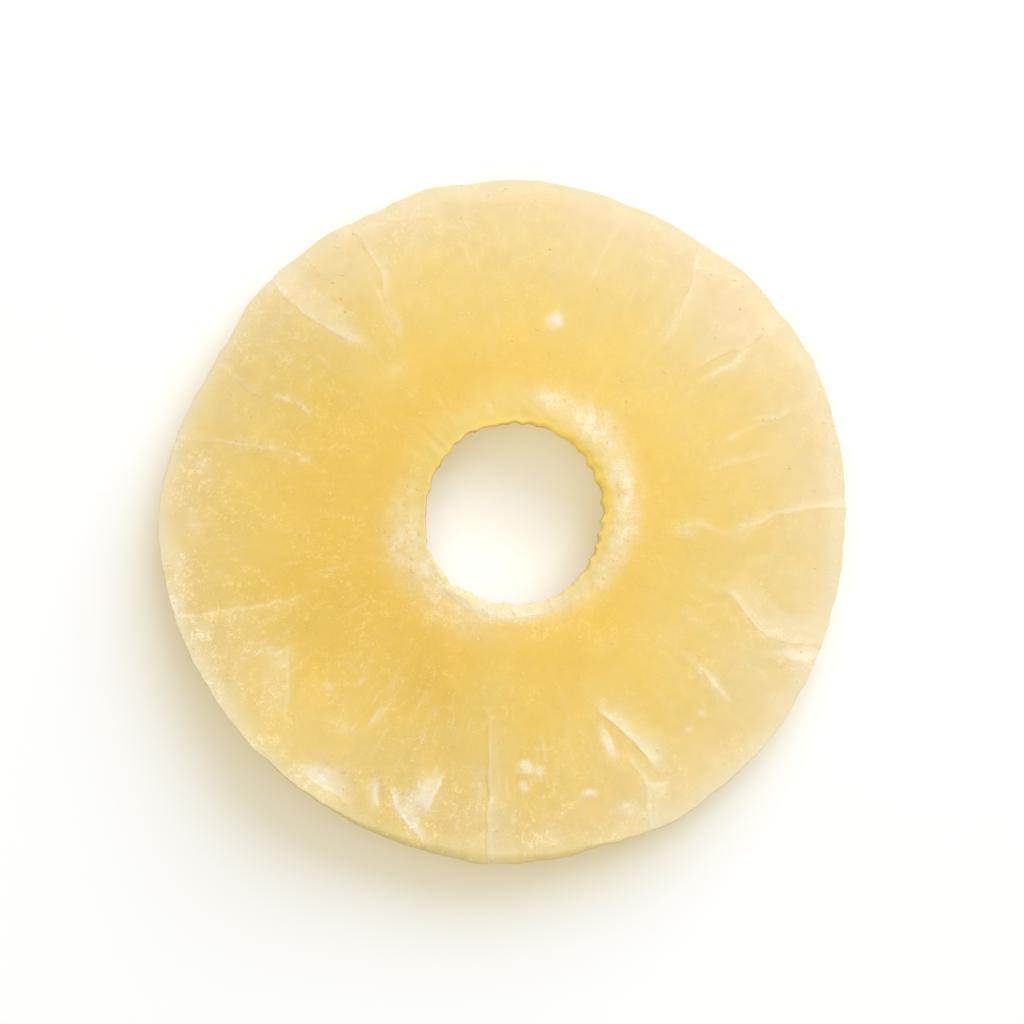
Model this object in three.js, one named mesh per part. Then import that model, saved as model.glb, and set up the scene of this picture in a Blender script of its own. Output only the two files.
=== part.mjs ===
// A ring of candied pineapple: a slice of the peeled fruit, cored, simmered in syrup and dried.
// One solid, in millimetres, +Z up. It lies on the plane z = 0 with its middle over the origin.
import * as THREE from "three";

// Driving dimensions
const RING_DIAMETER = 71.6; // mean width across the rim
const THICKNESS = 8.2; // from the underside to the top face, beside the hole
const RIM_DROP = 1.5; // how much thinner the slice has dried at its rim
const HOLE_DIAMETER = 18.9; // at the throat, where the hole is narrowest
const HOLE_PLACE = new THREE.Vector2(1.05, 0.7); // the core was cut out a little off centre

// Section across the ring, from the throat of the hole to the widest line of the rim
const THROAT_LEVEL = 6.2;
const HOLE_EDGE = 0.1; // how far the hole's upper edge is rounded
const HOLE_FOOT = 0.7;
const RIM_LEVEL = 3.2;
const RIM_EDGE = 0.1;
const RIM_FOOT = 1.7;

// Steps along the section's stretches: the hole's wall and edge, the top, the rim's edge, wall and foot, the
// underside and the hole's foot. Then the steps round the ring.
const SECTION_STEPS = [2, 3, 13, 3, 2, 3, 3, 3];
const RING_STEPS = 184;

// Swellings and flats of an outline: where in degrees, how far out, and how wide in degrees
const RIM_SWELLS = [
  { at: 27, height: 0.75, spread: 20 },
  { at: 46, height: 0.2, spread: 6 },
  { at: 81, height: 0.2, spread: 6 },
  { at: 111, height: -0.3, spread: 6 },
  { at: 125, height: -0.45, spread: 14 },
  { at: 152, height: -1.05, spread: 12 },
  { at: 178, height: 0.5, spread: 9 },
  { at: 194, height: 0.35, spread: 8 },
  { at: 234, height: -0.55, spread: 20 },
  { at: 270, height: 0.3, spread: 7 },
  { at: 298, height: 0.2, spread: 6 },
  { at: 310, height: 0.4, spread: 20 },
  { at: 325, height: 0.3, spread: 5 },
];
const HOLE_SWELLS = [
  { at: 78, height: 0.2, spread: 24 },
  { at: 120, height: 0.3, spread: 14 },
  { at: 170, height: -0.2, spread: 20 },
  { at: 205, height: 0.3, spread: 12 },
  { at: 228, height: 0.4, spread: 7 },
  { at: 290, height: 0.2, spread: 18 },
  { at: 345, height: -0.2, spread: 14 },
];

// Where the knife and the corer leaned, and the upper edges are cut back to a slope
const RIM_LEANS = [{ at: 266, height: 1, spread: 22 }];
const HOLE_LEANS = [
  { at: 268, height: 1.2, spread: 36 },
  { at: 32, height: 0.6, spread: 50 },
];
const RIM_SLOPE = 0.3; // how far a cut-back edge drops for each millimetre that it is set back
const HOLE_SLOPE = 0.25;

// Where the rim curled up off the table as the slice dried, from a distance from the middle outwards
const RIM_LIFTS = [{ at: 228, height: 1.9, spread: 16 }];
const LIFT_START = 18;
const LIFT_END = RING_DIAMETER / 2 + 4;

// The corer tore the fibres into small bites round the hole
const SCALLOPS = 31;
const SCALLOP_DEPTH = 0.32;

// The top face has dried into shallow waves, which rise towards the rim
const WAVES = 5;
const WAVE_HEIGHT = 0.06;
const WAVE_TURN = 40;

// Creases where one fruitlet of the pineapple meets the next, as bent lines of places [x, y], outwards.
// The lip is the height of the flesh that stands up beside a crease: plus on its left, minus on its right.
const CREASES = [
  { line: [[24.1, -1.5], [28.4, 0.5], [37, 1.5]], depth: 0.1, lip: 0.08 },
  { line: [[20.4, 4.7], [25.1, 6.4], [29.1, 7.3]], depth: 0.08, lip: 0.05 },
  { line: [[18.9, 15.1], [22.9, 17.3], [29.8, 21.2]], depth: 0.25, lip: 0.12 },
  { line: [[17.1, 18.6], [18.8, 23], [20.4, 28]], depth: 0.1, lip: -0.08 },
  { line: [[8.7, 24], [10.3, 27.3], [12.4, 31.2]], depth: 0.08, lip: 0.05 },
  { line: [[-10.6, 20.1], [-12.4, 22.7], [-17.2, 33]], depth: 0.12, lip: -0.1 },
  { line: [[-14.5, 18.6], [-18.6, 20.2], [-24.5, 25.2]], depth: 0.25, lip: -0.2 },
  { line: [[-24, 12.2], [-26.5, 13.7], [-29.4, 16]], depth: 0.1, lip: -0.08 },
  { line: [[-20.8, 7.1], [-28, 8], [-34, 8.6]], depth: 0.1, lip: -0.06 },
  { line: [[-19, -6.9], [-27.2, -8.8], [-37, -10.2]], depth: 0.1, lip: 0.1 },
  { line: [[-11.2, -17.3], [-12.4, -19.5], [-15, -21.9]], depth: 0.08, lip: 0.05 },
  { line: [[-1.6, -18.7], [-1.7, -28.7], [-1.8, -37]], depth: 0.1, lip: 0.08 },
  { line: [[9.1, -19], [12.5, -22.2], [16.8, -26.9]], depth: 0.25, lip: 0.2 },
  { line: [[11.8, -23.8], [15, -27.7], [15.6, -34]], depth: 0.2, lip: 0.12 },
  { line: [[19.5, -14.4], [22.6, -17.7], [24.2, -19.6]], depth: 0.12, lip: 0.1 },
  { line: [[21.6, -6.2], [25.8, -10.4], [30.2, -12.7], [36, -13.4]], depth: 0.2, lip: 0.18 },
];
const CREASE_OPENING = 0.3; // share of a crease's length over which it deepens from its inner end
const CREASE_CLOSING = 0.65; // share of its length where a crease that ends short of the rim begins to close
const RIM_REACH = 33.5; // a crease that ends farther out than this runs on over the rim
const CREASE_WIDTH = 0.6;
const LIP_WIDTH = 1.8;
const RIM_SHARE = 0.4; // the creases run down the rim and across the underside, shallower than on the top
const UNDERSIDE_SHARE = 0.6;

// Shallow hollows where flesh tore away, near the rim
const HOLLOWS = [
  { at: [-9.4, -29.8], radius: 2.2, depth: 0.3 },
  { at: [-18.9, -26.9], radius: 2.2, depth: 0.25 },
];

// The sections stand closer together across the creases, so that each groove is drawn
const GATHER = 0.8;
const GATHER_SPREAD = 4.5;

const radians = THREE.MathUtils.degToRad;

// A smooth hump of height 1 that has faded out at about twice its spread.
const hump = (distance, spread) => Math.exp(-((distance / spread) ** 2));

// The angle between two directions, from -180 to 180 degrees.
const turnBetween = (a, b) => THREE.MathUtils.euclideanModulo(a - b + 180, 360) - 180;

const towards = (degrees) => new THREE.Vector2(Math.cos(radians(degrees)), Math.sin(radians(degrees)));

const swellAt = (swells, degrees) =>
  swells.reduce((sum, s) => sum + s.height * hump(turnBetween(degrees, s.at), s.spread), 0);

// The bites round the hole: arches that meet in points, of uneven length and depth.
function scallopAt(degrees) {
  const turn = radians(degrees);
  const uneven = turn + 0.06 * Math.sin(3 * turn + 1) + 0.04 * Math.sin(7 * turn + 2);
  const share = 0.6 + 0.3 * Math.cos(turn - 0.3) + 0.25 * Math.sin(2 * turn + 0.5) * Math.sin(5 * turn);
  return SCALLOP_DEPTH * share * (Math.abs(Math.sin((SCALLOPS / 2) * uneven)) - 0.64);
}

// Where the rim's widest line and the hole's throat lie in a direction, in plan.
function rimAt(degrees) {
  return towards(degrees).multiplyScalar(RING_DIAMETER / 2 + swellAt(RIM_SWELLS, degrees));
}

function throatAt(degrees) {
  const radius = HOLE_DIAMETER / 2 + swellAt(HOLE_SWELLS, degrees) + scallopAt(degrees);
  return towards(degrees).multiplyScalar(radius).add(HOLE_PLACE);
}

// The section as a closed outline: up the hole's wall, out over the top, down the rim and back below.
function sectionOutline(width, holeLean, rimLean) {
  const rimTop = THICKNESS - RIM_DROP;
  const rimWallTop = rimTop - RIM_EDGE - RIM_SLOPE * rimLean;
  const holeWallTop = THICKNESS - HOLE_EDGE - HOLE_SLOPE * holeLean;
  return new THREE.Path()
    .moveTo(0, THROAT_LEVEL)
    .lineTo(0, holeWallTop)
    .quadraticCurveTo(0.5 * holeLean, THICKNESS - 0.1 * holeLean, holeLean + HOLE_EDGE, THICKNESS)
    .lineTo(width - rimLean - RIM_EDGE, rimTop)
    .quadraticCurveTo(width - 0.5 * rimLean, rimTop - 0.1 * rimLean, width, rimWallTop)
    .lineTo(width, RIM_LEVEL)
    .quadraticCurveTo(width, 0, width - RIM_FOOT, 0)
    .lineTo(HOLE_FOOT, 0)
    .quadraticCurveTo(0, 0, 0, THROAT_LEVEL);
}

// Points of the section in a direction: the share of the way from throat to rim, the level, and the way
// outwards.
function sectionPoints(degrees) {
  const width = rimAt(degrees).distanceTo(throatAt(degrees));
  const outline = sectionOutline(width, swellAt(HOLE_LEANS, degrees), swellAt(RIM_LEANS, degrees));
  return outline.curves.flatMap((curve, stretch) =>
    Array.from({ length: SECTION_STEPS[stretch] }, (_, i) => {
      const point = curve.getPoint(i / SECTION_STEPS[stretch]);
      const along = curve.getTangent(i / SECTION_STEPS[stretch]);
      return { share: point.x / width, level: point.y, outward: new THREE.Vector2(-along.y, along.x) };
    }),
  );
}

// The nearest place on a bent line: the distance, plus on the line's left, and the share of its length.
function nearestOnLine(line, point) {
  const bends = line.map(([x, y]) => new THREE.Vector2(x, y));
  const lengths = bends.slice(1).map((bend, i) => bend.distanceTo(bends[i]));
  const whole = lengths.reduce((a, b) => a + b);
  let before = 0;
  let nearest = { side: Infinity, along: 0 };
  lengths.forEach((length, i) => {
    const run = bends[i + 1].clone().sub(bends[i]);
    const offset = point.clone().sub(bends[i]);
    const share = THREE.MathUtils.clamp(offset.dot(run) / run.lengthSq(), 0, 1);
    const distance = offset.distanceTo(run.clone().multiplyScalar(share));
    if (distance < Math.abs(nearest.side)) {
      const side = run.cross(offset) < 0 ? -distance : distance;
      nearest = { side, along: (before + share * length) / whole };
    }
    before += length;
  });
  return nearest;
}

// How deep a crease lies at a point in plan: a groove, less a share of the lip that stands beside it.
function creaseDepth(crease, point, lipShare) {
  const { side, along } = nearestOnLine(crease.line, point);
  const end = crease.line[crease.line.length - 1];
  const closed = Math.hypot(...end) < RIM_REACH ? THREE.MathUtils.smoothstep(along, CREASE_CLOSING, 1) : 0;
  const opened = THREE.MathUtils.smoothstep(along, 0, CREASE_OPENING) * (1 - closed);
  const lipSide = side * Math.sign(crease.lip);
  const groove = crease.depth * hump(lipSide, CREASE_WIDTH);
  const lip = Math.abs(crease.lip) * hump(lipSide - LIP_WIDTH, LIP_WIDTH);
  return opened * (groove - lipShare * lip);
}

function hollowDepth(hollow, point) {
  return hollow.depth * hump(point.distanceTo(new THREE.Vector2(...hollow.at)), hollow.radius);
}

function reliefDepth(point, lipShare) {
  const creased = CREASES.reduce((sum, crease) => sum + creaseDepth(crease, point, lipShare), 0);
  return HOLLOWS.reduce((sum, hollow) => sum + hollowDepth(hollow, point), creased);
}

// How far the top face stands above the plain section. The waves fade out towards the hole and the underside.
function waveHeight(degrees, section) {
  const wave = Math.cos(WAVES * radians(degrees - WAVE_TURN));
  return WAVE_HEIGHT * wave * section.share * (section.level / THICKNESS);
}

// How far the curl lifts a point of the slice off the table.
function liftHeight(plan) {
  const bearing = THREE.MathUtils.radToDeg(plan.angle());
  return swellAt(RIM_LIFTS, bearing) * THREE.MathUtils.smoothstep(plan.length(), LIFT_START, LIFT_END);
}

// One point of the ring's skin.
function skinPoint(degrees, section) {
  const plan = throatAt(degrees).lerp(rimAt(degrees), section.share);
  const facingUp = section.outward.y;
  const flatShare = facingUp > 0 ? 1 : UNDERSIDE_SHARE;
  const sunkShare = THREE.MathUtils.lerp(RIM_SHARE, flatShare, Math.abs(facingUp));
  const sunk = sunkShare * reliefDepth(plan, Math.max(0, facingUp));
  const raised = waveHeight(degrees, section) + liftHeight(plan);
  plan.addScaledVector(towards(degrees), -sunk * section.outward.x);
  return [plan.x, plan.y, section.level - sunk * section.outward.y + raised];
}

// Directions of the sections, each step shorter the more creases it lies across.
function sectionDirections() {
  const middles = CREASES.map(({ line }) => {
    const [x, y] = line[Math.floor(line.length / 2)];
    return THREE.MathUtils.radToDeg(Math.atan2(y, x));
  });
  const crowding = (degrees) =>
    middles.reduce((sum, m) => sum + GATHER * hump(turnBetween(degrees, m), GATHER_SPREAD), 1);
  const fine = Array.from({ length: 3600 }, (_, i) => crowding(i / 10));
  const share = fine.reduce((a, b) => a + b) / RING_STEPS;
  const directions = [];
  fine.reduce((sum, weight, i) => {
    if (sum >= directions.length * share) directions.push(i / 10);
    return sum + weight;
  }, 0);
  return directions;
}

// The skin is a grid that closes on itself both ways, with its faces turned outwards.
// Each square of the grid is cut along its more level diagonal, so that a slanting groove stays smooth.
function ringGeometry() {
  const directions = sectionDirections();
  const rows = directions.map((degrees) =>
    sectionPoints(degrees).map((section) => skinPoint(degrees, section)),
  );
  const points = rows.flat();
  const columns = rows[0].length;
  const corner = (i, j) => (i % rows.length) * columns + (j % columns);
  const rise = (p, q) => Math.abs(points[p][2] - points[q][2]);
  const faces = rows.flatMap((row, i) =>
    row.flatMap((_, j) => {
      const [a, b, c, d] = [corner(i, j), corner(i, j + 1), corner(i + 1, j + 1), corner(i + 1, j)];
      return rise(a, c) <= rise(b, d) ? [a, b, c, a, c, d] : [a, b, d, b, c, d];
    }),
  );
  const geometry = new THREE.BufferGeometry();
  geometry.setAttribute("position", new THREE.Float32BufferAttribute(points.flat(), 3));
  geometry.setIndex(faces);
  geometry.computeBoundingBox();
  const middle = geometry.boundingBox.getCenter(new THREE.Vector3());
  geometry.translate(-middle.x, -middle.y, -geometry.boundingBox.min.z);
  geometry.computeVertexNormals();
  return geometry;
}

const candiedFlesh = new THREE.MeshStandardMaterial({ color: 0xf4d27a, roughness: 0.5, metalness: 0 });

const ring = new THREE.Mesh(ringGeometry(), candiedFlesh);
ring.name = "pineapple_ring";

const candiedPineapple = new THREE.Group();
candiedPineapple.add(ring);

export default candiedPineapple;
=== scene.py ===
"""A ring of candied pineapple that lies on a white table, seen from straight above."""

import bmesh
import bpy
import numpy as np
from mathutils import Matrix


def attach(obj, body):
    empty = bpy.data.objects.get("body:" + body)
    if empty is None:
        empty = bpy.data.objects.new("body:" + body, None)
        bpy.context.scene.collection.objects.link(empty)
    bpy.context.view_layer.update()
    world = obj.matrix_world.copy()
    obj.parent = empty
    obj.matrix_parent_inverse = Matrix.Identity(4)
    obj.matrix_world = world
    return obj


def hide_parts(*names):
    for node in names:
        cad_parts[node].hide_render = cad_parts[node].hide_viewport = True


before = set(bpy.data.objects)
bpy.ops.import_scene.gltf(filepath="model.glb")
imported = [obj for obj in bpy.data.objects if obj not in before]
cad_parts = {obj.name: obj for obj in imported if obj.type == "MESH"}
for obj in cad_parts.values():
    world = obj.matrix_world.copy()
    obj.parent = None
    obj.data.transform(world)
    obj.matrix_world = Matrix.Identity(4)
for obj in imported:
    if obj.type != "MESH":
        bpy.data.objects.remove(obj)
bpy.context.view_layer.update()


# The slice
# One round of pineapple, peeled and cored, that hot syrup has soaked until the flesh turned waxy and clear.
# It shrank as it dried, into creases where one fruitlet meets the next, and sugar came out on it as a white
# bloom. It lies loose on its cut face.

# Sizes in millimetres. Places are (x, y) from the middle of the ring, and directions are in degrees.
RING_DIAMETER = 71.6
THICKNESS = 8.2
RIM_DROP = 1.5  # how much thinner the slice has dried at its rim
HOLE_DIAMETER = 18.9
HOLE_PLACE = np.array([1.05, 0.7])
THROAT_LEVEL = 6.2
HOLE_EDGE = 0.1  # how far the hole's upper edge is rounded
HOLE_FOOT = 0.7
RIM_LEVEL = 3.2
RIM_EDGE = 0.1
RIM_FOOT = 1.7
SCALLOPS = 31  # the corer tore the fibres into small bites round the hole
SCALLOP_DEPTH = 0.32
MEAN_BITE = 0.64  # the mean of a bite's depth, before it is scaled
RING_STEPS = 630
SECTION_STEPS = [8, 12, 94, 10, 8, 8, 10, 8]  # for each stretch of the section, from the hole's wall round
WALL_REACH = 4.0  # distance from the throat that parts the hole's wall from the rim's
WALL_LEVELS = (4, 5.5)  # over these levels the hole's wall turns into its lip
RIM_SHARE = 0.4  # the creases are shallower down the rim and below than on the top
UNDERSIDE_SHARE = 0.6

# Swellings and flats of the two outlines: direction, height and spread in degrees
RIM_SWELLS = [
    (27, 0.75, 20),
    (46, 0.2, 6),
    (81, 0.2, 6),
    (111, -0.3, 6),
    (125, -0.45, 14),
    (152, -1.05, 12),
    (178, 0.5, 9),
    (194, 0.35, 8),
    (234, -0.55, 20),
    (270, 0.3, 7),
    (298, 0.2, 6),
    (310, 0.4, 20),
    (325, 0.3, 5),
]
HOLE_SWELLS = [
    (78, 0.2, 24),
    (120, 0.3, 14),
    (170, -0.2, 20),
    (205, 0.3, 12),
    (228, 0.4, 7),
    (290, 0.2, 18),
    (345, -0.2, 14),
]

# Where the rim curled up off the table as it dried: direction, height and spread in degrees
RIM_LIFTS = [(228, 1.9, 16)]
LIFT_START = 18.0  # distances from the middle where the curl begins and ends
LIFT_END = RING_DIAMETER / 2 + 4

# How far the upper edges are set back, as the knife and the corer leaned: direction, distance and spread. The
# hole's is set back a little all round, and each slope drops by a share of its distance.
RIM_LEANS = [(266, 1.0, 22)]
RIM_SLOPE = 0.3
HOLE_LEAN = 0.05
HOLE_LEANS = [(268, 1.2, 36), (32, 0.6, 50)]
HOLE_SLOPE = 0.25
EDGE_BEND = 0.1  # the share by which a slope has dropped at its bend

# The creases, each from its inner end outwards. The lip is the flesh that stands up beside the groove, plus
# on the left of the line and minus on its right. That side is paler, or glazed, over the reach, and the other
# side lies lower by the drop. White is the sugar on the lip, and also painted glow where light comes
# through the thin lip.
CREASES = [
    {"line": [(16.7, -0.9), (20.9, -0.5), (24.2, -1.9)],
     "depth": 0.009, "lip": 0.013, "white": 0.42},
    {"line": [(24.1, -1.5), (25.3, -0.7), (28.4, 0.5), (32.4, 1.3), (37, 1.5)],
     "depth": 0.015, "lip": 0.036, "white": 1, "pale": 0.1, "reach": 2},
    {"line": [(22.1, 8.2), (24.8, 8.9), (26.6, 9.8), (28.6, 10.0)],
     "depth": 0.012, "lip": 0.013, "white": 0.35},
    {"line": [(25.9, 10.4), (28.6, 10.7), (31, 11.8)],
     "depth": 0.009, "lip": 0.013, "white": 0.7},
    {"line": [(20.4, 4.7), (25.1, 6.4), (29.1, 7.3)],
     "depth": 0.009, "lip": 0.013, "white": 0.35},
    {"line": [(18.9, 15.1), (22.9, 17.3), (26, 18.7), (29.8, 21.2)],
     "depth": 0.03, "lip": 0.04, "white": 0.35, "pale": 0.1, "reach": 3},
    {"line": [(20.6, 15.4), (22.2, 15.8), (23.8, 16.7), (26, 18.4)],
     "depth": 0.009, "lip": -0.063, "white": 0.7},
    {"line": [(17.1, 18.6), (18.0, 21.0), (18.8, 23.0), (20.4, 28)],
     "depth": 0.012, "lip": -0.036, "white": 0.35, "pale": 0.2, "reach": 1.6},
    {"line": [(19.4, 26.8), (22.2, 26.1), (24.8, 25)],
     "depth": 0.012, "lip": 0.036, "white": 0.45},
    {"line": [(8.7, 24.0), (10.3, 27.3), (12.4, 31.2)],
     "depth": 0.009, "lip": 0.018, "white": 0.35},
    {"line": [(-10.6, 20.1), (-12.4, 22.7), (-13.0, 26.0), (-14.6, 29.0), (-17.2, 33)],
     "depth": 0.021, "lip": -0.036, "white": 0.56, "pale": 0.12, "reach": 2},
    {"line": [(-14.5, 18.6), (-17.1, 19.4), (-18.6, 20.2), (-21.4, 21.9), (-24.5, 25.2)],
     "depth": 0.03, "lip": -0.035, "white": 0.5, "pale": 0.26, "reach": 5, "glaze": 0.08},
    {"line": [(-20.0, 10.8), (-21.8, 12.2), (-25, 13.2)],
     "depth": 0.009, "lip": -0.032, "white": 0.84},
    {"line": [(-24.0, 12.2), (-26.5, 13.7), (-29.4, 16)],
     "depth": 0.012, "lip": -0.032, "white": 0.42},
    {"line": [(-20.8, 7.1), (-23.4, 7.2), (-28, 8.0), (-34, 8.6)],
     "depth": 0.012, "lip": -0.027, "white": 0.56},
    {"line": [(-19.0, -6.9), (-22.7, -8.3), (-27.2, -8.8), (-30.9, -9.5), (-37, -10.2)],
     "depth": 0.009, "lip": 0.036, "white": 0.42, "pale": 0.1, "reach": 4, "drop": 0.027},
    {"line": [(-11.2, -17.3), (-12.4, -19.5), (-15.0, -21.9)],
     "depth": 0.009, "lip": 0.018, "white": 0.3},
    {"line": [(-1.6, -18.7), (-1.7, -23.3), (-1.7, -28.7), (-1.8, -37)],
     "depth": 0.05, "lip": 0.02, "white": 0.3, "pale": 0.35, "reach": 2.2},
    {"line": [(10.2, -21.0), (11.2, -22.6), (11.8, -24.8)],
     "depth": 0.009, "lip": -0.045, "white": 1},
    {"line": [(9.1, -19.0), (10.4, -20.4), (12.5, -22.2), (14.5, -24.1), (16.8, -26.9)],
     "depth": 0.015, "lip": 0.06, "white": 0.6, "pale": 0.7, "reach": 1.1, "glaze": 0.25, "drop": 0.05},
    {"line": [(11.8, -23.8), (14.0, -26.2), (15.0, -27.7), (15.2, -30.8), (15.6, -34)],
     "depth": 0.021, "lip": 0.03, "white": 0.63, "pale": 0.1, "reach": 2, "drop": 0.02},
    {"line": [(19.5, -14.4), (21.1, -16.0), (22.6, -17.7), (24.2, -19.6)],
     "depth": 0.012, "lip": 0.05, "white": 1},
    {"line": [(24.6, -14.8), (26.2, -15.6), (27.9, -16.8)],
     "depth": 0.015, "lip": 0.018, "white": 0.42},
    {"line": [(21.6, -6.2), (24.0, -8.0), (25.8, -10.4), (27.5, -12.0), (30.2, -12.7), (36, -13.4)],
     "depth": 0.021, "lip": 0.05, "white": 0.25, "pale": 0.42, "reach": 4, "drop": 0.02},
    {"line": [(-6.2, -26.0), (-7.2, -28.6), (-8.6, -31.4)],
     "depth": 0.01, "lip": -0.02, "white": 0.3, "glaze": 0.7, "reach": 1.1, "drop": 0.03},
    {"line": [(-12.2, -27.4), (-11.4, -30.4), (-9.2, -33.0)],
     "depth": 0.01, "lip": 0.03, "white": 0.9, "glaze": 0.8, "reach": 0.6},
    {"line": [(-13.0, -26.6), (-13.4, -28.4), (-13.0, -30.4)],
     "depth": 0.01, "lip": -0.02, "white": 0.7, "glaze": 0.35, "reach": 0.6},
    {"line": [(-21.4, -25.8), (-20.0, -27.2), (-18.0, -28.6)],
     "depth": 0.01, "lip": 0.02, "white": 0.5, "glaze": 0.5, "reach": 1.2},
    {"line": [(-22.7, -11.8), (-22.5, -16.5), (-22.8, -22.0)],
     "depth": 0.005, "lip": -0.01, "white": 0.2, "pale": 0.25, "reach": 4.0},
    {"line": [(-8.0, -5.4), (-4.5, -8.8), (-0.5, -10.2), (3.9, -9.9), (7.4, -8.3)],
     "depth": 0.03, "lip": 0.02, "white": 0.5, "pale": 0.25, "reach": 0.9},
]
GROOVE_WIDTH = 0.3
LIP_WIDTH = 1.8
DROP_WIDTH = 2.2
RIM_REACH = 33.5  # a crease that ends nearer the middle than this closes before the rim
SEAM_FAR = 3.0  # the distance from a crease where it no longer counts
CROWDING = 1.2  # how much closer the sections lie across a crease
CROWD_SPREAD = 3  # in degrees
FINE_STEP = 0.05

# Shallow hollows where flesh tore away: place, half length, half width, direction and depth
HOLLOWS = [
    ((-13.5, -28.2), 1.5, 0.6, 100, 0.25),
    ((-18.9, -26.9), 2.6, 1.6, 145, 0.2),
]

# Patches of sugar bloom: place, half length, half width, direction and strength
BLOOM = [
    ((-9.4, -29.4), 2.4, 1.6, 60, 0.7),
    ((-10.6, -30.6), 2.2, 0.5, 130, 0.7),
    ((-18.8, -26.8), 2.4, 1.4, 145, 0.7),
    ((-21.6, -26.0), 1.2, 0.7, 150, 0.5),
    ((-18.2, -17.4), 0.7, 0.7, 0, 0.35),
    ((-11.5, -17.2), 0.6, 0.5, 30, 0.4),
    ((-7.4, -20.1), 0.5, 0.5, 0, 0.5),
    ((-16.2, -21.9), 1.2, 0.4, 0, 0.4),
    ((-31.7, 6.2), 1.0, 0.6, 110, 0.8),
    ((-22.1, 7.1), 1.4, 0.35, 5, 0.6),
    ((-20.9, 6.2), 0.5, 0.4, 0, 0.8),
    ((-34.2, -4.6), 2.2, 0.8, 95, 0.9),
    ((-32.8, -0.4), 1.2, 0.6, 95, 0.7),
    ((-34.6, -8.9), 0.9, 0.6, 0, 0.8),
    ((-31.8, -11.8), 1.0, 0.8, 60, 0.8),
    ((-24.6, -13.6), 2.4, 0.9, 165, 0.45),
    ((27.2, -4.8), 2.6, 1.2, 160, 0.35),
    ((31.0, -14.0), 1.8, 0.4, 175, 1.0),
    ((19.2, -1.0), 1.0, 0.7, 0, 0.5),
    ((25.2, -0.9), 1.1, 0.8, 30, 0.5),
    ((2.9, -26.7), 1.2, 0.9, 130, 0.35),
    ((4.6, -33.5), 1.6, 0.9, 25, 0.7),
    ((-4.0, -33.6), 2.0, 0.9, 0, 0.45),
    ((9.3, -28.6), 0.8, 0.4, 20, 0.7),
    ((13.4, -30.4), 2.0, 0.7, 165, 1.0),
    ((16.4, -27.9), 1.2, 0.6, 160, 0.9),
    ((21.8, -16.9), 3.3, 0.45, 134, 0.9),
    ((-2.6, -27.8), 0.6, 1.7, 0, 0.5),
    ((28.4, -18.6), 0.8, 0.6, 130, 0.6),
    ((22.3, 25.8), 2.6, 0.5, 163, 0.5),
    ((-16.2, 19.4), 2.2, 0.7, 155, 0.8),
    ((-23.2, 24.2), 1.2, 0.6, 130, 0.5),
    ((-11.2, 15.8), 1.2, 0.8, 60, 0.3),
    ((-1.6, 12.2), 0.9, 0.35, 125, 0.5),
    ((10.1, 26.3), 0.7, 0.7, 0, 0.3),
    ((11.9, -20.9), 2.6, 0.45, 135, 0.8),
    ((15.0, -24.0), 2.2, 0.4, 130, 0.7),
    ((29.2, -12.2), 2.6, 0.5, 172, 0.9),
    ((31.5, -13.6), 2.0, 0.8, 175, 0.8),
    ((24.8, -8.6), 2.4, 0.35, 130, 0.6),
    ((-13.2, 23.6), 2.2, 0.4, 110, 0.7),
    ((-11.4, 20.8), 1.4, 0.5, 120, 0.5),
    ((23.6, 16.4), 2.4, 0.3, 28, 0.7),
    ((28.0, 20.4), 1.2, 0.8, 60, 0.5),
    ((17.9, 21.0), 2.2, 0.4, 67, 0.5),
    ((10.9, -23.3), 1.7, 0.5, 110, 0.9),
    ((30.6, -13.9), 2.1, 0.5, 178, 1.6),
    ((5.4, 20.9), 0.7, 0.6, 60, 1.6),
    ((2.2, -25.7), 0.65, 0.3, 0, 1.8),
    ((3.8, -26.1), 0.45, 0.4, 30, 1.6),
    ((2.2, -27.7), 0.45, 0.4, 20, 1.6),
    ((9.2, -28.7), 0.5, 0.3, 20, 1.2),
    ((21.0, -20.5), 0.5, 0.3, 140, 1.2),
    ((19.1, -21.8), 0.35, 0.3, 30, 1.2),
]
# Smooth glassy sugar: place, half length, half width, direction and strength
GLASSY = [
    ((-8.6, -28.6), 1.5, 0.8, 60, 0.6),
    ((-9.6, -30.8), 1.3, 0.7, 120, 0.4),
    ((-18.9, -26.6), 1.5, 0.8, 145, 0.4),
    ((-13.4, -28.4), 1.2, 0.45, 100, 0.4),
    ((30.8, -13.9), 2.0, 0.45, 178, 0.35),
    ((5.4, 20.9), 0.7, 0.6, 60, 0.3),
    ((-34.6, -8.9), 0.8, 0.5, 0, 0.5),
    ((-18.4, -17.4), 0.6, 0.5, 0, 0.3),
    ((10.9, -23.4), 1.5, 0.5, 110, 0.4),
]
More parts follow.
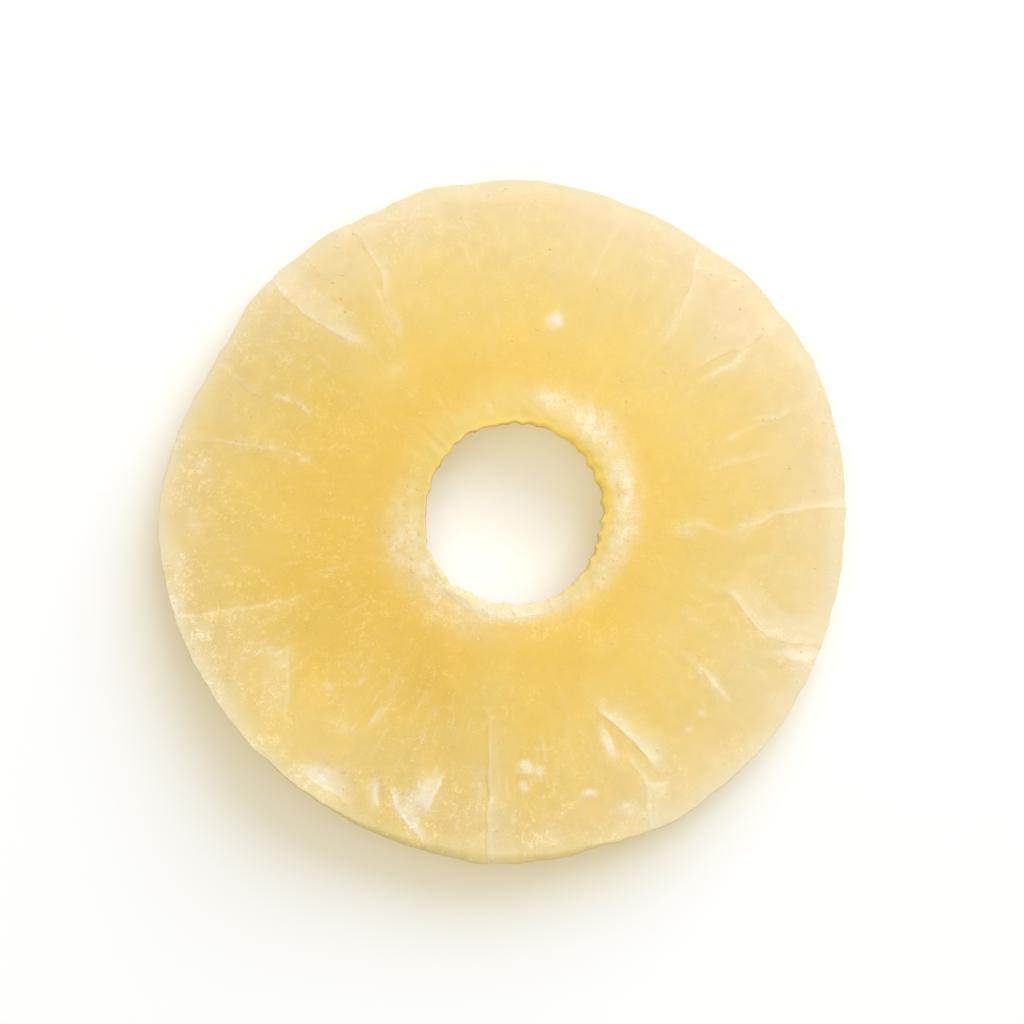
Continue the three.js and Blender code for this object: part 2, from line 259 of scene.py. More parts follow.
# Flesh that dried more, or less where minus: place, half length, half width, direction and strength
DRYNESS = [
    ((-27.0, 3.0), 6, 5, 90, -0.14),
    ((-23.0, -8.0), 7, 4, 10, -0.16),
    ((-20.0, -15.0), 4, 3, 120, -0.1),
    ((28.5, -4.5), 5, 4, 80, -0.14),
    ((27.0, 9.0), 6, 5, 100, -0.1),
    ((4.5, 20.5), 6, 4, 0, -0.08),
    ((-19.0, 14.0), 3, 2.5, 0, -0.1),
    ((2.5, -28.5), 3, 3, 0, -0.1),
    ((21.0, -23.0), 4, 3, 40, -0.08),
    ((-10.5, 32.0), 5, 2.5, 20, 0.14),
    ((12.0, 31.0), 5, 2.5, 160, 0.1),
    ((-30.0, -18.0), 6, 2.5, 120, 0.14),
    ((-34.0, 0.0), 6, 2, 90, 0.1),
    ((-17.1, 26.5), 5, 4, 30, 0.14),
    ((22.9, 10.7), 6, 5, 30, -0.1),
    ((25.0, 2.3), 6, 2.5, 0, -0.12),
    ((12.4, 19.1), 5, 3, 60, -0.12),
    ((-1.3, -18.7), 3, 5, 0, 0.14),
    ((4.0, -28.2), 3, 3, 0, -0.1),
    ((-21.3, -18.7), 4, 4, 0, -0.12),
    ((-29.7, -5.0), 4, 3, 0, -0.1),
    ((14.5, -12.4), 4, 4, 0, 0.06),
    ((-17.1, -4.5), 2.5, 2.5, 0, -0.2),
    ((-17.0, -17.0), 4, 4, 0, -0.06),
    ((-3.5, -26.0), 3, 5, 0, 0.1),
    ((24.5, -6.5), 5, 3, 0, 0.08),
    ((11.0, -19.0), 2.5, 2.5, 0, 0.1),
    ((-11.0, 14.0), 3, 3, 0, 0.08),
    ((2.5, -18.5), 6, 3, 0, 0.1),
    ((-0.5, 13.4), 4, 1.6, 0, 0.14),
    ((22.0, 20.5), 4.5, 3.2, 40, 0.13),
    ((-34.0, -3.0), 2.5, 8, 0, -0.03),
    ((-9.0, -32.0), 12, 1.6, -15, -0.12),
]
# The bloom round the hole, seen from the hole's middle: direction, spread, distance, width and strength
HOLE_BLOOM = [
    (72, 9, 12.7, 1.0, 1.01),
    (48, 16, 12.7, 1.8, 1.09),
    (20, 15, 12.1, 1.5, 1.01),
    (-8, 16, 11.6, 1.3, 1.09),
    (-36, 14, 11.2, 1.2, 0.87),
    (-92, 34, 10.2, 1.0, 1.1),
    (188, 20, 11.4, 1.8, 0.72),
    (214, 14, 10.6, 1.3, 0.72),
    (205, 18, 12.6, 1.8, 0.5),
    (240, 20, 12.4, 1.8, 0.6),
]

# The flesh stayed moist out to a distance from the hole, which is greatest on one side, and it is drier for
# each millimetre beyond.
MOIST_REACH = 16.6
MOIST_EXTRA = 4.6
MOIST_SIDE = 213
DRYING = 0.045
DRYING_START = 1.5  # over how many millimetres the drying sets in

BOTTOM = 262  # the direction where both cut edges slope
CLEAN_SIDE = 45  # the direction with the least fine sugar


def hump(distance, spread):
    """A bump of height 1: e to the power of minus the square of the distance over the spread."""
    return np.exp(-((distance / spread) ** 2))


def ease(value, low, high):
    """Smoothstep: 3 t^2 - 2 t^3, where t is the share of the way from low to high, kept from 0 to 1."""
    t = np.clip((value - low) / (high - low), 0, 1)
    return t * t * (3 - 2 * t)


def turn_between(a, b):
    """The turn from direction b to direction a, wrapped to the range from -180 to 180 degrees."""
    return (a - b + 180) % 360 - 180


def side_near(bearing, at, spread):
    """How near a bearing is to a direction: a hump of the turn between them."""
    return hump(turn_between(bearing, at), spread)


def lumps(points, size, seed):
    """Noise from -1 to 1: random values at the corners of cubes of a size, blended inside by smoothstep."""
    cell = points / size
    low = np.floor(cell).astype(int)
    part = ease(cell - low, 0, 1)
    low -= low.reshape(-1, 3).min(axis=0)
    corner_values = np.random.default_rng(seed).uniform(-1, 1, low.reshape(-1, 3).max(axis=0) + 2)
    total = np.zeros(points.shape[:-1])
    for corner in np.ndindex(2, 2, 2):
        weight = np.prod(np.where(corner, part, 1 - part), axis=-1)
        total += weight * corner_values[tuple(np.moveaxis(low + corner, -1, 0))]
    return total


def towards(degrees):
    """Unit vectors (cos, sin) in plan."""
    return np.stack([np.cos(np.radians(degrees)), np.sin(np.radians(degrees))], axis=-1)


def swell(degrees, swells):
    """The sum of the humps of an outline at each direction."""
    return sum(height * side_near(degrees, at, spread) for at, height, spread in swells)


def scallop(degrees):
    """The bites round the hole: the depth times a waving share times (|sin(half the count x turn)| - its
    mean). The turn is the direction with two slow waves added, so the bites come in uneven lengths."""
    turn = np.radians(degrees)
    uneven = turn + 0.06 * np.sin(3 * turn + 1) + 0.04 * np.sin(7 * turn + 2)
    share = 0.6 + 0.3 * np.cos(turn - 0.3) + 0.25 * np.sin(2 * turn + 0.5) * np.sin(5 * turn)
    return SCALLOP_DEPTH * share * (np.abs(np.sin(SCALLOPS / 2 * uneven)) - MEAN_BITE)


def nearest_on_line(plan, line):
    """For each point of the plan: its distance from a bent line, plus on the left and minus on the right, and
    the share of the line's length where it is nearest."""
    line = np.array(line, float)
    runs = np.diff(line, axis=0)
    lengths = np.hypot(*runs.T)
    starts = np.concatenate([[0], np.cumsum(lengths)])
    best = np.full(plan.shape[:-1], np.inf)
    side = np.zeros_like(best)
    share = np.zeros_like(best)
    for start, run, length, before in zip(line, runs, lengths, starts):
        offset = plan - start
        t = np.clip(offset @ run / length**2, 0, 1)
        aside = offset - t[..., None] * run
        distance = np.hypot(aside[..., 0], aside[..., 1])
        nearer = distance < best
        cross = run[0] * offset[..., 1] - run[1] * offset[..., 0]
        best = np.where(nearer, distance, best)
        side = np.where(nearer, np.where(cross < 0, -distance, distance), side)
        share = np.where(nearer, (before + t * length) / starts[-1], share)
    return side, share


def patch(plan, middle, half_length, half_width, direction):
    """An oval patch: e to the minus square of the distance from its middle, in half lengths along it and half
    widths across."""
    offset = plan - np.array(middle)
    along = offset @ towards(direction)
    across = offset @ towards(direction + 90)
    return np.exp(-((along / half_length) ** 2) - (across / half_width) ** 2)


def patches(plan, rows):
    """The sum of oval patches, each times its strength."""
    return sum(strength * patch(plan, *place) for *place, strength in rows)


def section_lines(width, hole_lean, rim_lean):
    """The slice's section in every direction, as a closed line of (distance from the throat, level): up the
    hole's wall and over its edge, out over the top, over the rim's edge and down, and back below. Every
    stretch is (1 - t)^2 start + 2 t (1 - t) bend + t^2 end."""

    def spot(distance, level):
        """The point at a distance and a level, in every direction."""
        return np.stack(np.broadcast_arrays(distance, level, width)[:2], axis=-1)[:, None]

    rim_top = THICKNESS - RIM_DROP
    hole_side = spot(0, THROAT_LEVEL)
    wall_top = spot(0, THICKNESS - HOLE_EDGE - HOLE_SLOPE * hole_lean)
    hole_bend = spot(0.5 * hole_lean, THICKNESS - EDGE_BEND * hole_lean)
    hole_edge = spot(hole_lean + HOLE_EDGE, THICKNESS)
    rim_edge = spot(width - rim_lean - RIM_EDGE, rim_top)
    rim_bend = spot(width - 0.5 * rim_lean, rim_top - EDGE_BEND * rim_lean)
    side_top = spot(width, rim_top - RIM_EDGE - RIM_SLOPE * rim_lean)
    rim_side = spot(width, RIM_LEVEL)
    rim_foot = spot(width - RIM_FOOT, 0)
    hole_foot = spot(HOLE_FOOT, 0)
    stretches = [
        (hole_side, (hole_side + wall_top) / 2, wall_top),
        (wall_top, hole_bend, hole_edge),
        (hole_edge, (hole_edge + rim_edge) / 2, rim_edge),
        (rim_edge, rim_bend, side_top),
        (side_top, (side_top + rim_side) / 2, rim_side),
        (rim_side, spot(width, 0), rim_foot),
        (rim_foot, (rim_foot + hole_foot) / 2, hole_foot),
        (hole_foot, spot(0, 0), hole_side),
    ]
    points = []
    for (start, bend, end), steps in zip(stretches, SECTION_STEPS):
        t = np.arange(steps)[:, None] / steps
        points.append((1 - t) ** 2 * start + 2 * t * (1 - t) * bend + t**2 * end)
    return np.concatenate(points, axis=1)


def ring_directions():
    """Directions of the sections: steps of a full turn, each shorter the more creases it lies across."""
    fine_steps = np.arange(0, 360, FINE_STEP)
    crowding = np.ones_like(fine_steps)
    for crease in CREASES:
        middle = np.mean(crease["line"], axis=0)
        crease_direction = np.degrees(np.arctan2(middle[1], middle[0]))
        crowding += CROWDING * side_near(fine_steps, crease_direction, CROWD_SPREAD)
    total = np.cumsum(crowding)
    return np.interp(np.arange(RING_STEPS) / RING_STEPS * total[-1], total - total[0], fine_steps)


# The plain slice: each section runs from the throat of the hole to the rim in its own direction.
direction = ring_directions()
hole_radius = HOLE_DIAMETER / 2 + swell(direction, HOLE_SWELLS) + scallop(direction)
throat = HOLE_PLACE + hole_radius[:, None] * towards(direction)
rim = (RING_DIAMETER / 2 + swell(direction, RIM_SWELLS))[:, None] * towards(direction)
width = np.hypot(*(rim - throat).T)
outward = (rim - throat) / width[:, None]
hole_lean = HOLE_LEAN + swell(direction, HOLE_LEANS)
section = section_lines(width, hole_lean, swell(direction, RIM_LEANS))
slope = np.roll(section, -1, axis=1) - np.roll(section, 1, axis=1)
slope /= np.hypot(slope[..., 0], slope[..., 1])[..., None]
out_side, out_up = -slope[..., 1], slope[..., 0]
from_throat, level = section[..., 0], section[..., 1]
from_rim = width[:, None] - from_throat
plan = throat[:, None] + section[..., :1] * outward[:, None]
skin = np.concatenate([plan, level[..., None]], axis=-1)
from_middle = np.hypot(plan[..., 0], plan[..., 1])
bearing = np.degrees(np.arctan2(plan[..., 1], plan[..., 0]))
hole_offset = plan - HOLE_PLACE
from_hole = np.hypot(hole_offset[..., 0], hole_offset[..., 1])
hole_bearing = np.degrees(np.arctan2(hole_offset[..., 1], hole_offset[..., 0]))
facing_up = np.clip(out_up, 0, 1)
off_table = out_up > -0.3
upright = 1 - ease(out_up, 0.1, 0.7)
on_hole_wall = upright * (from_throat < WALL_REACH)
on_rim_wall = upright * (from_throat > WALL_REACH)
below_edge = on_rim_wall * ease(THICKNESS - RIM_DROP - level, 0.2, 1.4)
above_wall = ease(level, *WALL_LEVELS)
below_lip = on_hole_wall * (1 - above_wall)
past_edge = np.arange(section.shape[1]) >= sum(SECTION_STEPS[:3])

# The creases. Sunk is how deep the skin lies and lifted how far it stands up. Seam is the distance from the
# nearest crease, with white on its edge, which is sugar and painted glow, painted shade in its groove and the
# flesh beside it pale or glazed.
sunk = patches(plan, HOLLOWS)
lifted = np.zeros_like(level)
bloom = np.zeros_like(level)
seam = np.full_like(level, SEAM_FAR)
frost_and_glow = np.zeros_like(level)
groove_shade = np.zeros_like(level)
beside = np.zeros_like(level)
glaze = np.zeros_like(level)
waver = 0.2 * lumps(skin, 1.8, 22) + 0.1 * lumps(skin, 0.8, 23)
broken = np.clip(0.7 + 0.8 * lumps(skin, 1.5, 2), 0, 1.2)
dashes = ease(lumps(skin, 1.1, 17), -0.1, 0.5)
for crease in CREASES:
    side, along = nearest_on_line(plan, crease["line"])
    ends_inside = np.hypot(*crease["line"][-1]) < RIM_REACH
    opened = ease(along, 0, 0.3) * (1 - ends_inside * ease(along, 0.65, 1))
    lip_side = side * np.sign(crease["lip"]) + waver
    behind = ease(lip_side, -0.1, 0.35) * np.exp(-np.maximum(lip_side, 0) / LIP_WIDTH)
    below = ease(-lip_side, -0.1, 0.35) * np.exp(-np.maximum(-lip_side, 0) / DROP_WIDTH)
    sunk += opened * (0.4 + dashes) * crease["depth"] * hump(lip_side + 0.1, GROOVE_WIDTH)
    sunk += opened * crease.get("drop", 0) * below
    lifted += opened * abs(crease["lip"]) * behind
    fading = opened * np.exp(-np.abs(lip_side) / crease.get("reach", 1))
    bloom += 0.5 * opened * broken * crease["white"] * hump(lip_side - 0.35, 0.5)
    nearer = np.abs(lip_side) < np.abs(seam)
    seam = np.where(nearer, lip_side, seam)
    frost_and_glow = np.where(nearer, 0.65 * opened * crease["white"], frost_and_glow)
    groove_shade = np.where(nearer, opened * min(1, 5 * crease["depth"]), groove_shade)
    beside = np.where(nearer, fading * crease.get("pale", 0), beside)
    glaze = np.where(nearer, fading * crease.get("glaze", 0), glaze)

# Fibres run out from the hole, so their noise is stretched along the radius.
fibre_place = np.concatenate([20 * towards(hole_bearing), (from_hole / 6 + level / 4)[..., None]], axis=-1)
fibres = lumps(fibre_place, 0.7, 3)

# The hole's edge stayed clear at the upper right, and dried white below. The rim is golden at the bottom.
clear_edge = (1 - ease(from_throat, 0.9, 1.3)) * side_near(hole_bearing, 35, 60)
dry_edge = (1 - ease(from_throat, 1.3, 1.7)) * side_near(hole_bearing, BOTTOM, 45)
gold_side = side_near(hole_bearing, BOTTOM, 30)

# Pale is how dry the flesh is. It grows with the distance beyond the moist flesh round the hole.
moist_reach = MOIST_REACH + MOIST_EXTRA * np.cos(np.radians(hole_bearing - MOIST_SIDE))
pale = DRYING * DRYING_START * np.logaddexp(0, (from_hole - moist_reach) / DRYING_START)
pale += patches(plan, DRYNESS)
pale += 0.07 * fibres * ease(from_hole, 14, 26) + 0.08 * lumps(skin, 5, 4) + 0.03 * lumps(skin, 1.6, 5)
pale += 0.25 * hump(from_hole - 11.3, 2.2)
pale -= 0.08 * hump(from_hole - 10.6, 1.0) * side_near(hole_bearing, 210, 60)
# A pale band along the rim: drier flesh, and partly painted light, as the thin edge catches light from the
# side.
pale += (0.28 + 0.2 * lumps(skin, 3, 26)) * hump(from_rim, 0.9) * (1 - gold_side)
pale += (0.6 - pale) * past_edge * gold_side
rim_wall_pale = 0.35 + 0.3 * lumps(skin * [1, 1, 0.2], 1.0, 31) + 0.15 * lumps(skin, 2.5, 32)
pale += (rim_wall_pale - pale) * below_edge
pale += (0.06 - pale) * clear_edge + (0.6 - pale) * dry_edge
hole_wall_pale = 0.4 + 0.25 * lumps(skin * [1, 1, 0.2], 0.8, 33)
pale += (hole_wall_pale - pale) * below_lip

# Bloom is how much white sugar is on the skin, and glassy how much clear sugar. Their patches are ragged.
ragged = plan + 0.5 * np.stack([lumps(skin, 1.1, 35), lumps(skin, 1.1, 36)], axis=-1)
bloom += patches(ragged, BLOOM)
glassy = patches(ragged, GLASSY)
for at, spread, distance, across, strength in HOLE_BLOOM:
    bloom += strength * side_near(hole_bearing, at, spread) * hump(from_hole - distance, across)
bloom *= 0.8 + 0.4 * lumps(skin, 1.0, 6)
hole_wall_bloom = 0.7 + 0.7 * lumps(skin * [1, 1, 0.5], 1.8, 34)
bloom += (hole_wall_bloom - bloom) * below_lip
bloom += 0.7 * below_lip * side_near(hole_bearing, 225, 60)
bloom += -bloom * clear_edge * above_wall + (0.7 - bloom) * dry_edge * above_wall
frost = ease(lumps(fibre_place, 0.6, 13), 0.2, 0.9) * ease(lumps(skin, 5, 19), -0.2, 0.6)
frost += 0.6 * ease(lumps(skin, 1.3, 20), 0.3, 0.9) * ease(lumps(skin, 6, 21), -0.1, 0.6)
bloom += 0.2 * frost * ease(from_hole, 12, 20)

# Streaky is how much the fibres show white, and dusted how much fine sugar there is. Both are least at the
# upper right.
towards_clean = np.cos(np.radians(hole_bearing - CLEAN_SIDE))
streaky = ease(lumps(skin, 4, 24), -0.2, 0.8) * (0.35 - 0.2 * towards_clean)
streaky *= ease(from_hole, 16, 22)
dusted = (0.6 - 0.3 * towards_clean) * ease(lumps(skin, 3, 25), -0.7, 0.7)
dusted *= (1 + 0.5 * ease(from_middle, 26, 33)) * (1 - np.clip(glassy, 0, 1))

# Tone is how light the flesh is drawn: random tone, with painted light and shade. It is painted lighter
# towards the lamp at the upper right and at the lower right, and darker at the left and the lower left. A
# painted glow lies on the hole's upper right lip and painted shade just outside the hole, and the rim's
# golden wall is painted lighter. The hole's lower left wall is drawn darker, so that it throws less light
# onto the table inside the hole.
tone_and_painted_light = 0.985 + 0.02 * plan @ towards(61) / 30 + 0.045 * side_near(hole_bearing, 290, 35)
tone_and_painted_light -= 0.03 * side_near(hole_bearing, 250, 55) * ease(from_hole, 12, 24)
tone_and_painted_light -= 0.012 * side_near(hole_bearing, 160, 40)
tone_and_painted_light += (0.006 + 0.016 * ease(from_hole, 14, 26)) * lumps(skin, 1.0, 27) + 0.014 * lumps(skin, 2.5, 28)
tone_and_painted_light -= 0.04 * side_near(hole_bearing, 150, 20) * ease(from_hole, 18, 26)
tone_and_painted_light += 0.03 * past_edge * gold_side
tone_and_painted_light += 0.2 * (1 - ease(from_throat, 0.3, 0.8)) * side_near(hole_bearing, 60, 60)
tone_and_painted_light -= hump(from_hole - 10.5, 0.9) * (0.02 + 0.04 * side_near(hole_bearing, 20, 80)) + 0.06 * dry_edge
tone_and_painted_light -= 0.15 * below_lip * (1 - towards_clean)

# Edge shade is painted shade: the rim's upper edge and the top next to the hole are drawn a duller brown,
# so that they don't shine where the light falls on them; the hole's amber side is left out. Clear is how
# far light goes in.
edge_shade = 0.3 * on_rim_wall * (1 - gold_side) * (1 - below_edge)
edge_shade += 0.1 * (1 - ease(from_throat, 0.5, 1.6)) * facing_up
edge_shade *= 1 - side_near(hole_bearing, 32, 65) * (1 - ease(from_throat, 1.2, 2.0))
clear = ease(np.minimum(from_rim, from_throat), 0.3, 3.0) * facing_up + below_edge + below_lip

# Fine relief: grain is how far the skin stands out, ribs run down the rim and scallops down the hole.
crust = hump(from_hole - HOLE_DIAMETER / 2 - 1.4, 1.5) * facing_up
grain = 0.005 * lumps(skin, 0.6, 7) + 0.02 * lumps(skin, 2.2, 8) + 0.06 * lumps(skin, 7, 9)
grain += 0.01 * fibres + 0.04 * crust * lumps(skin, 0.9, 10)
grain += 0.02 * np.clip(bloom, 0, 1) * lumps(skin, 0.55, 11)
ribs = 0.26 * lumps(skin * [1, 1, 0.25], 3.2, 12) + 0.13 * lumps(skin * [1, 1, 0.3], 1.2, 14)
ribs *= ease(from_throat, (width - 1.6)[:, None], (width - 0.2)[:, None])
ribs -= below_edge * (0.3 + 0.2 * lumps(skin, 2.6, 29) + 0.1 * lumps(skin, 1.0, 30))
scallops = 0.14 * lumps(skin * [1, 1, 0.15], 0.85, 16) * (1 - ease(from_throat, 0.2, 1.4))

# The skin moves in or out by its relief. The slice is then set down in the middle of the table, and its rim
# curls up.
flat_share = np.where(out_up > 0, 1, UNDERSIDE_SHARE)
sunk_share = RIM_SHARE + (flat_share - RIM_SHARE) * np.abs(out_up)
raised = facing_up * lifted - sunk_share * sunk
raised += np.where(off_table, grain, 0.3 * np.minimum(grain, 0))
skin[..., :2] += (raised * out_side + ribs + scallops)[..., None] * outward[:, None]
skin[..., 2] += raised * out_up
skin[..., :2] -= (skin[..., :2].reshape(-1, 2).min(axis=0) + skin[..., :2].reshape(-1, 2).max(axis=0)) / 2
skin[..., 2] -= skin[..., 2].min()
skin[..., 2] += swell(bearing, RIM_LIFTS) * ease(from_middle, LIFT_START, LIFT_END)

skin_looks = {
    "pale": np.clip(pale, 0, 1),
    "bloom": np.clip(bloom, 0, 3),
    "edge_shade": edge_shade,
    "clear": clear,
    "groove_shade": groove_shade,
    "frost_and_glow": frost_and_glow,
    "seam": seam,
    "beside": beside,
    "glaze": glaze,
    "fibre": fibre_place,
    "streaky": streaky,
    "glassy": glassy,
    "dusted": dusted,
    "tone_and_painted_light": tone_and_painted_light,
}


def grid_mesh(name, points, attributes):
    """A mesh from a grid of points in metres that closes on itself both ways: corner (i, j) joins
    (i + 1, j + 1). Each attribute holds a value or a place for every point."""
    rows, columns = points.shape[:2]
    number = np.arange(rows * columns).reshape(rows, columns)
    ahead = np.roll(number, -1, axis=0)
    quads = np.stack([number, np.roll(number, -1, axis=1), np.roll(ahead, -1, axis=1), ahead], axis=-1)
    mesh = bpy.data.meshes.new(name)
    mesh.from_pydata(points.reshape(-1, 3), [], quads.reshape(-1, 4))
    mesh.shade_smooth()
    for attribute_name, values in attributes.items():
        is_place = values.ndim == 3
        attribute = mesh.attributes.new(attribute_name, "FLOAT_VECTOR" if is_place else "FLOAT", "POINT")
        attribute.data.foreach_set("vector" if is_place else "value", values.astype(np.float32).ravel())
    return mesh


def linear(srgb):
    """A colour such as "f4d27a" as linear red, green, blue and alpha."""
    channels = np.array([int(srgb[i : i + 2], 16) for i in (0, 2, 4)]) / 255
    return (*np.where(channels <= 0.04045, channels / 12.92, ((channels + 0.055) / 1.055) ** 2.4), 1.0)


def add_node(tree, kind, inputs, **settings):
    """Adds a shader node with its settings, and fills its inputs: a socket is linked, and a value is set."""
    node = tree.nodes.new(kind)
    for name, value in settings.items():
        setattr(node, name, value)
    for name, value in inputs.items():
        if isinstance(value, bpy.types.NodeSocket):
            tree.links.new(value, node.inputs[name])
        else:
            node.inputs[name].default_value = value
    return node


def new_material(name):
    """An empty material with its node tree."""
    material = bpy.data.materials.new(name)
    material.use_nodes = True
    material.node_tree.nodes.clear()
    return material, material.node_tree


def new_object(name, mesh, material):
    """An object in the scene that shows a mesh in a material."""
    mesh.materials.append(material)
    made = bpy.data.objects.new(name, mesh)
    bpy.context.scene.collection.objects.link(made)
    return made


# Candied flesh: fruit soaked with syrup, index about 1.48, waxy rather than glossy. Light goes a few
# millimetres into it. It is amber where it stayed moist, near the core, and cream where it dried.
MOIST_COLOUR = "ebc757"
DRY_COLOUR = "e8d6ab"
DRYING_COLOURS = [(0.2, "ebcc6c"), (0.5, "e9cf82"), (0.71, "e8d295")]  # how pale, and the colour
# The darker amber of the painted shade in the creases' grooves.
GROOVE_SHADE_COLOUR = "e2bd62"
BLOOM_COLOUR = "f5e7c6"
GLAZE_COLOUR = "f8f0de"
# The duller brown of the painted shade on the edges.
EDGE_SHADE_COLOUR = "cdb98a"
FLESH_INDEX = 1.48
LIGHT_REACH = 0.003
GRAINS_IN_METRE = 4000.0  # the finest sugar is about 0.25 mm
CLOTS_IN_METRE = 1200.0  # it gathers in clots of about 0.8 mm
flesh, tree = new_material("candied_flesh")
look = {}
for look_name, look_values in skin_looks.items():
    look_node = add_node(tree, "ShaderNodeAttribute", {}, attribute_name=look_name)
    look[look_name] = look_node.outputs["Vector" if look_values.ndim == 3 else "Fac"]
object_place = add_node(tree, "ShaderNodeTexCoord", {}).outputs["Object"]
fine = add_node(
    tree, "ShaderNodeTexNoise", {"Vector": object_place, "Scale": GRAINS_IN_METRE, "Detail": 2.0}
).outputs["Fac"]
coarse = add_node(
    tree, "ShaderNodeTexNoise", {"Vector": object_place, "Scale": CLOTS_IN_METRE, "Detail": 3.0}
).outputs["Fac"]
speckle = add_node(tree, "ShaderNodeMath", {0: fine, 1: coarse}, operation="ADD").outputs["Value"]

# The flesh's own colour follows how pale it is, with a fine grain, and paler on one side of the creases.
grainy = add_node(
    tree,
    "ShaderNodeMapRange",
    {"Value": speckle, "From Min": 0.6, "From Max": 1.4, "To Min": -0.025, "To Max": 0.025},
).outputs["Result"]
lip = add_node(
    tree,
    "ShaderNodeMapRange",
    {"Value": look["seam"], "From Min": -0.1, "From Max": 0.1},
    interpolation_type="SMOOTHSTEP",
).outputs["Result"]
speckled = add_node(tree, "ShaderNodeMath", {0: look["pale"], 1: grainy}, operation="ADD").outputs["Value"]
pale_side = add_node(
    tree, "ShaderNodeMath", {0: look["beside"], 1: lip}, operation="MULTIPLY"
).outputs["Value"]
paleness = add_node(tree, "ShaderNodeMath", {0: pale_side, 1: speckled}, operation="ADD").outputs["Value"]
ramp = add_node(tree, "ShaderNodeValToRGB", {"Fac": paleness})
stops = ramp.color_ramp.elements
stops[0].color = linear(MOIST_COLOUR)
stops[1].color = linear(DRY_COLOUR)
for paleness_there, colour_there in DRYING_COLOURS:
    stops.new(paleness_there).color = linear(colour_there)


def band(tree, seam_value, middle, half_width, strength):
    """A line along the creases: the strength, fading by smoothstep to 0 at the half width from the middle
    distance."""
    away = add_node(tree, "ShaderNodeMath", {0: seam_value, 1: middle}, operation="SUBTRACT").outputs["Value"]
    apart = add_node(tree, "ShaderNodeMath", {0: away}, operation="ABSOLUTE").outputs["Value"]
    near = add_node(
        tree,
        "ShaderNodeMapRange",
        {"Value": apart, "From Max": half_width, "To Min": 1.0, "To Max": 0.0},
        interpolation_type="SMOOTHSTEP",
    ).outputs["Result"]
    return add_node(tree, "ShaderNodeMath", {0: near, 1: strength}, operation="MULTIPLY").outputs["Value"]


# Painted shade: a darker amber down the creases' grooves.
groove = band(tree, look["seam"], -0.12, 0.16, look["groove_shade"])
# The white line on the lip: sugar and painted glow.
edge = band(tree, look["seam"], 0.18, 0.34, look["frost_and_glow"])
groove_shaded = add_node(
    tree,
    "ShaderNodeMix",
    {"Factor": groove, "A": ramp.outputs["Color"], "B": linear(GROOVE_SHADE_COLOUR)},
    data_type="RGBA",
)

# White sugar covers it: the bloom, the creases' edges, streaks along the fibres and dust.
strands = add_node(
    tree, "ShaderNodeTexNoise", {"Vector": look["fibre"], "Scale": 2.2, "Detail": 2.0}
).outputs["Fac"]
streaks = add_node(
    tree, "ShaderNodeMapRange", {"Value": strands, "From Min": 0.54, "From Max": 0.74, "To Max": 1.0}
).outputs["Result"]
bright = add_node(tree, "ShaderNodeMath", {0: look["bloom"], 1: edge}, operation="ADD").outputs["Value"]
streaked = add_node(
    tree, "ShaderNodeMath", {0: streaks, 1: look["streaky"], 2: bright}, operation="MULTIPLY_ADD"
).outputs["Value"]
dust = add_node(
    tree, "ShaderNodeMapRange", {"Value": speckle, "From Min": 1.08, "From Max": 1.3, "To Max": 0.28}
).outputs["Result"]
white = add_node(
    tree, "ShaderNodeMath", {0: dust, 1: look["dusted"], 2: streaked}, operation="MULTIPLY_ADD"
).outputs["Value"]
cover = add_node(
    tree,
    "ShaderNodeMapRange",
    {"Value": speckle, "From Min": 0.8, "From Max": 1.2, "To Min": 0.5, "To Max": 1.0},
).outputs["Result"]
sugar = add_node(
    tree, "ShaderNodeMath", {0: white, 1: cover}, operation="MULTIPLY", use_clamp=True
).outputs["Value"]
sugared = add_node(
    tree,
    "ShaderNodeMix",
    {"Factor": sugar, "A": groove_shaded.outputs["Result"], "B": linear(BLOOM_COLOUR)},
    data_type="RGBA",
)

# Glassy facets and the painted shade on the edges lie over the sugar. Tone, which holds painted light and
# shade, painted glints, and painted light on the pale side of the creases make it lighter or darker.
facet = add_node(
    tree,
    "ShaderNodeMath",
    {0: look["glaze"], 1: lip, 2: look["glassy"]},
    operation="MULTIPLY_ADD",
    use_clamp=True,
).outputs["Value"]
glazed = add_node(
    tree,
    "ShaderNodeMix",
    {"Factor": facet, "A": sugared.outputs["Result"], "B": linear(GLAZE_COLOUR)},
    data_type="RGBA",
)
# Painted shade on the edges.
edge_shaded = add_node(
    tree,
    "ShaderNodeMix",
    {"Factor": look["edge_shade"], "A": glazed.outputs["Result"], "B": linear(EDGE_SHADE_COLOUR)},
    data_type="RGBA",
)
# Painted glints: the brightest spots of the fine grain are drawn lighter, as a painted sparkle on the sugar,
# most where it is dusted.
painted_glint = add_node(
    tree, "ShaderNodeMapRange", {"Value": speckle, "From Min": 1.0, "From Max": 1.3, "To Max": 0.11}
).outputs["Result"]
lit_side = add_node(
    tree, "ShaderNodeMath", {0: pale_side, 1: 0.12, 2: look["tone_and_painted_light"]}, operation="MULTIPLY_ADD"
).outputs["Value"]
shade = add_node(
    tree, "ShaderNodeMath", {0: painted_glint, 1: look["dusted"], 2: lit_side}, operation="MULTIPLY_ADD"
).outputs["Value"]
flesh_colour = add_node(
    tree,
    "ShaderNodeMix",
    {"Factor": 1.0, "A": edge_shaded.outputs["Result"], "B": shade},
    data_type="RGBA",
    blend_type="MULTIPLY",
)
rough = add_node(
    tree, "ShaderNodeMapRange", {"Value": sugar, "To Min": 0.5, "To Max": 0.75}
).outputs["Result"]
bump = add_node(tree, "ShaderNodeBump", {"Height": speckle, "Strength": 0.5, "Distance": 0.00003})
